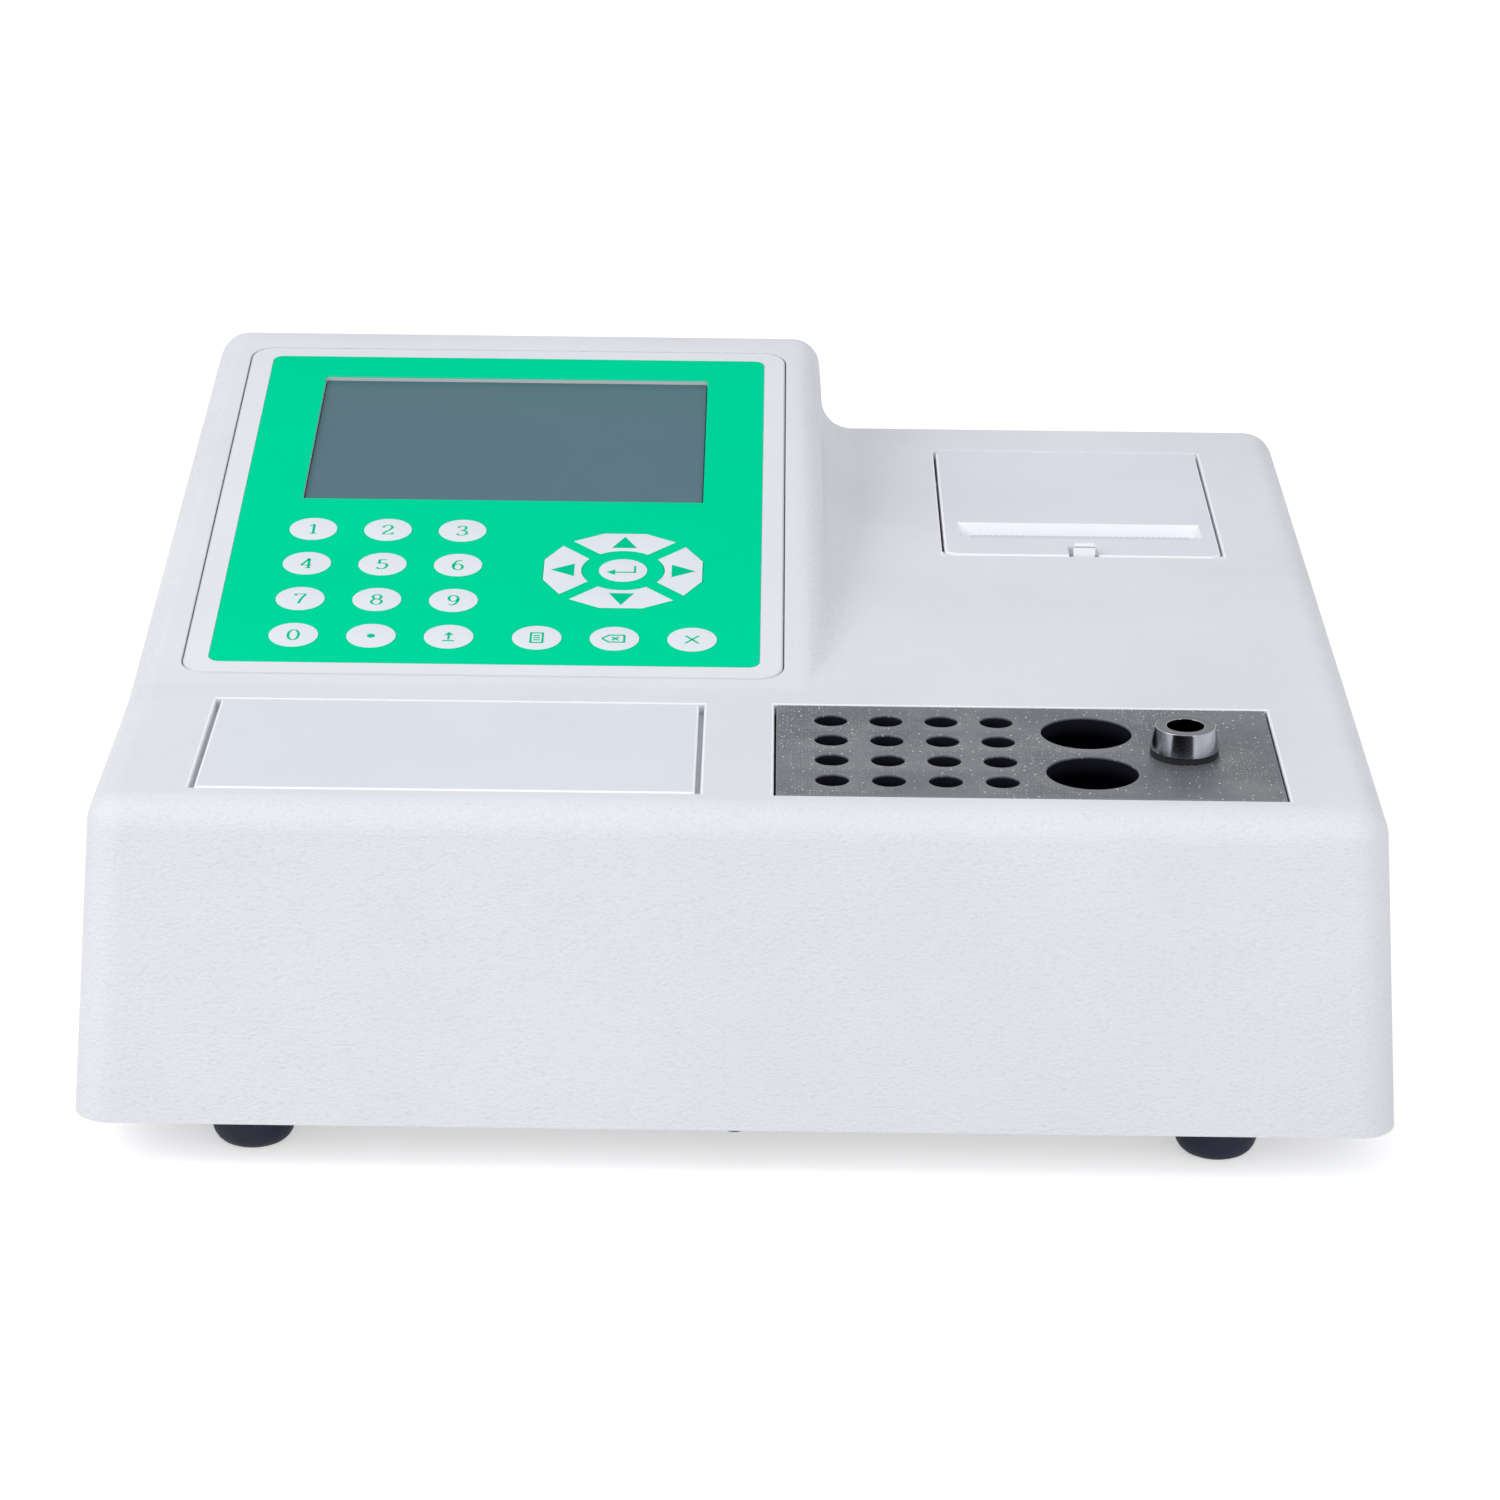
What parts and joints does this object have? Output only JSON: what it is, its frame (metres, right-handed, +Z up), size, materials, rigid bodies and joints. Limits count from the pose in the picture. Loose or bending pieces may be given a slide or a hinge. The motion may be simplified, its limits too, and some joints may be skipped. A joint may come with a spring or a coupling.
{
  "type": "coagulation analyzer",
  "caption": "Bench coagulation analyzer: low casing with a sloping keypad and display console, a heated block of wells, a covered block place and a roll printer under a hinged door.",
  "frame": {"origin": "middle of the footprint, on the bench plane that the feet stand on", "axes": "+Z up; -Y towards the user, where the wells and the keypad face; +X to the user's right"},
  "size_m": [0.328, 0.3346, 0.1295],
  "materials": {
    "casing": "satin, fine moulded grain",
    "cover_plastic": "satin",
    "console_sheet": "smooth",
    "green_overlay": "smooth",
    "key_white": "smooth",
    "lcd_glass": "polished",
    "steel": "plated",
    "board": "soldermask",
    "block_metal": "hard anodised, satin",
    "collar_metal": "dark, polished",
    "black_plastic": "satin",
    "light_body": "clear epoxy",
    "heater_rubber": "matte silicone",
    "bracket_metal": "mill",
    "printer_plastic": "satin",
    "platen_rubber": "matte",
    "gear_plastic": "moulded",
    "pinion_metal": "turned",
    "head_ceramic": "glazed edge",
    "paper": "thermal paper",
    "foot_rubber": "matte",
    "base_metal": "powder coat",
    "brass_posts": "turned",
    "supply_case": "mill"
  },
  "bodies": {
    "casing": {"top_shell": "casing", "base_plate": "base_metal", "rubber_feet": "foot_rubber", "base_screws": "steel", "console_plate": "console_sheet", "keypad_overlay": "green_overlay", "display_panel": "lcd_glass", "display_tray": "steel", "display_board": "board", "keyboard": "board", "snap_domes": "steel", "incubator_block": "block_metal", "collar_ring": "black_plastic", "measuring_collar": "collar_metal", "light_source": "light_body", "light_detector": "light_body", "temperature_sensor": "steel", "heater_pad": "heater_rubber", "block_bracket": "bracket_metal", "blank_cover": "cover_plastic", "printer_frame": "printer_plastic", "door_hinge_pins": "steel", "print_chassis": "steel", "printer_motor": "steel", "print_head": "head_ceramic", "board_standoffs": "brass_posts", "main_board": "board", "power_supply": "supply_case", "power_inlet": "black_plastic", "switch_housing": "black_plastic", "serial_port": "steel"},
    "printer_door": {"printer_door": "cover_plastic", "tear_bar": "printer_plastic", "latch_pin": "steel"},
    "door_latch": {"door_latch": "printer_plastic"},
    "switch_rocker": {"switch_rocker": "black_plastic"},
    "platen": {"platen_roller": "platen_rubber", "platen_gear": "gear_plastic"},
    "motor_pinion": {"motor_pinion": "pinion_metal"},
    "paper_roll": {"paper_roll": "paper"},
    "key_1": {"key_1": "key_white"},
    "key_2": {"key_2": "key_white"},
    "key_3": {"key_3": "key_white"},
    "key_4": {"key_4": "key_white"},
    "key_5": {"key_5": "key_white"},
    "key_6": {"key_6": "key_white"},
    "key_7": {"key_7": "key_white"},
    "key_8": {"key_8": "key_white"},
    "key_9": {"key_9": "key_white"},
    "key_0": {"key_0": "key_white"},
    "key_point": {"key_point": "key_white"},
    "key_feed": {"key_feed": "key_white"},
    "key_print": {"key_print": "key_white"},
    "key_delete": {"key_delete": "key_white"},
    "key_escape": {"key_escape": "key_white"},
    "key_enter": {"key_enter": "key_white"},
    "key_up": {"key_up": "key_white"},
    "key_left": {"key_left": "key_white"},
    "key_down": {"key_down": "key_white"},
    "key_right": {"key_right": "key_white"}
  },
  "joints": [
    {"name": "printer_door_hinge", "type": "hinge", "parent": "casing", "child": "printer_door", "pos_m": [0.095, 0.1175, 0.0895], "axis": [-1, 0, 0], "range_deg": [0, 90]},
    {"name": "door_latch_pivot", "type": "hinge", "parent": "printer_door", "child": "door_latch", "pos_m": [0.0952, 0.0374, 0.086], "axis": [-1, 0, 0], "range_deg": [0, 12], "stiffness_Nm_per_rad": 0.05},
    {"name": "power_switch_rock", "type": "hinge", "parent": "casing", "child": "switch_rocker", "pos_m": [-0.078, 0.16264, 0.05178], "axis": [1, 0, 0], "range_deg": [0, 16]},
    {"name": "platen_turn", "type": "hinge", "parent": "casing", "child": "platen", "pos_m": [0.095, 0.05, 0.074], "axis": [1, 0, 0], "continuous": true},
    {"name": "motor_pinion_turn", "type": "hinge", "parent": "casing", "child": "motor_pinion", "pos_m": [0.095, 0.05, 0.0604], "axis": [1, 0, 0], "continuous": true},
    {"name": "paper_roll_turn", "type": "hinge", "parent": "casing", "child": "paper_roll", "pos_m": [0.095, 0.099, 0.0653], "axis": [1, 0, 0], "continuous": true},
    {"name": "key_1_press", "type": "slide", "parent": "casing", "child": "key_1", "axis": [0, 0.1609, -0.987], "range_m": [0, 0.0004], "stiffness_N_per_m": 800},
    {"name": "key_2_press", "type": "slide", "parent": "casing", "child": "key_2", "axis": [0, 0.1609, -0.987], "range_m": [0, 0.0004], "stiffness_N_per_m": 800},
    {"name": "key_3_press", "type": "slide", "parent": "casing", "child": "key_3", "axis": [0, 0.1609, -0.987], "range_m": [0, 0.0004], "stiffness_N_per_m": 800},
    {"name": "key_4_press", "type": "slide", "parent": "casing", "child": "key_4", "axis": [0, 0.1609, -0.987], "range_m": [0, 0.0004], "stiffness_N_per_m": 800},
    {"name": "key_5_press", "type": "slide", "parent": "casing", "child": "key_5", "axis": [0, 0.1609, -0.987], "range_m": [0, 0.0004], "stiffness_N_per_m": 800},
    {"name": "key_6_press", "type": "slide", "parent": "casing", "child": "key_6", "axis": [0, 0.1609, -0.987], "range_m": [0, 0.0004], "stiffness_N_per_m": 800},
    {"name": "key_7_press", "type": "slide", "parent": "casing", "child": "key_7", "axis": [0, 0.1609, -0.987], "range_m": [0, 0.0004], "stiffness_N_per_m": 800},
    {"name": "key_8_press", "type": "slide", "parent": "casing", "child": "key_8", "axis": [0, 0.1609, -0.987], "range_m": [0, 0.0004], "stiffness_N_per_m": 800},
    {"name": "key_9_press", "type": "slide", "parent": "casing", "child": "key_9", "axis": [0, 0.1609, -0.987], "range_m": [0, 0.0004], "stiffness_N_per_m": 800},
    {"name": "key_0_press", "type": "slide", "parent": "casing", "child": "key_0", "axis": [0, 0.1609, -0.987], "range_m": [0, 0.0004], "stiffness_N_per_m": 800},
    {"name": "key_point_press", "type": "slide", "parent": "casing", "child": "key_point", "axis": [0, 0.1609, -0.987], "range_m": [0, 0.0004], "stiffness_N_per_m": 800},
    {"name": "key_feed_press", "type": "slide", "parent": "casing", "child": "key_feed", "axis": [0, 0.1609, -0.987], "range_m": [0, 0.0004], "stiffness_N_per_m": 800},
    {"name": "key_print_press", "type": "slide", "parent": "casing", "child": "key_print", "axis": [0, 0.1609, -0.987], "range_m": [0, 0.0004], "stiffness_N_per_m": 800},
    {"name": "key_delete_press", "type": "slide", "parent": "casing", "child": "key_delete", "axis": [0, 0.1609, -0.987], "range_m": [0, 0.0004], "stiffness_N_per_m": 800},
    {"name": "key_escape_press", "type": "slide", "parent": "casing", "child": "key_escape", "axis": [0, 0.1609, -0.987], "range_m": [0, 0.0004], "stiffness_N_per_m": 800},
    {"name": "key_enter_press", "type": "slide", "parent": "casing", "child": "key_enter", "axis": [0, 0.1609, -0.987], "range_m": [0, 0.0004], "stiffness_N_per_m": 800},
    {"name": "key_up_press", "type": "slide", "parent": "casing", "child": "key_up", "axis": [0, 0.1609, -0.987], "range_m": [0, 0.0004], "stiffness_N_per_m": 800},
    {"name": "key_left_press", "type": "slide", "parent": "casing", "child": "key_left", "axis": [0, 0.1609, -0.987], "range_m": [0, 0.0004], "stiffness_N_per_m": 800},
    {"name": "key_down_press", "type": "slide", "parent": "casing", "child": "key_down", "axis": [0, 0.1609, -0.987], "range_m": [0, 0.0004], "stiffness_N_per_m": 800},
    {"name": "key_right_press", "type": "slide", "parent": "casing", "child": "key_right", "axis": [0, 0.1609, -0.987], "range_m": [0, 0.0004], "stiffness_N_per_m": 800}
  ],
  "couplings": [
    {"joint": "motor_pinion_turn", "follows": "platen_turn", "ratio": -2.4}
  ]
}
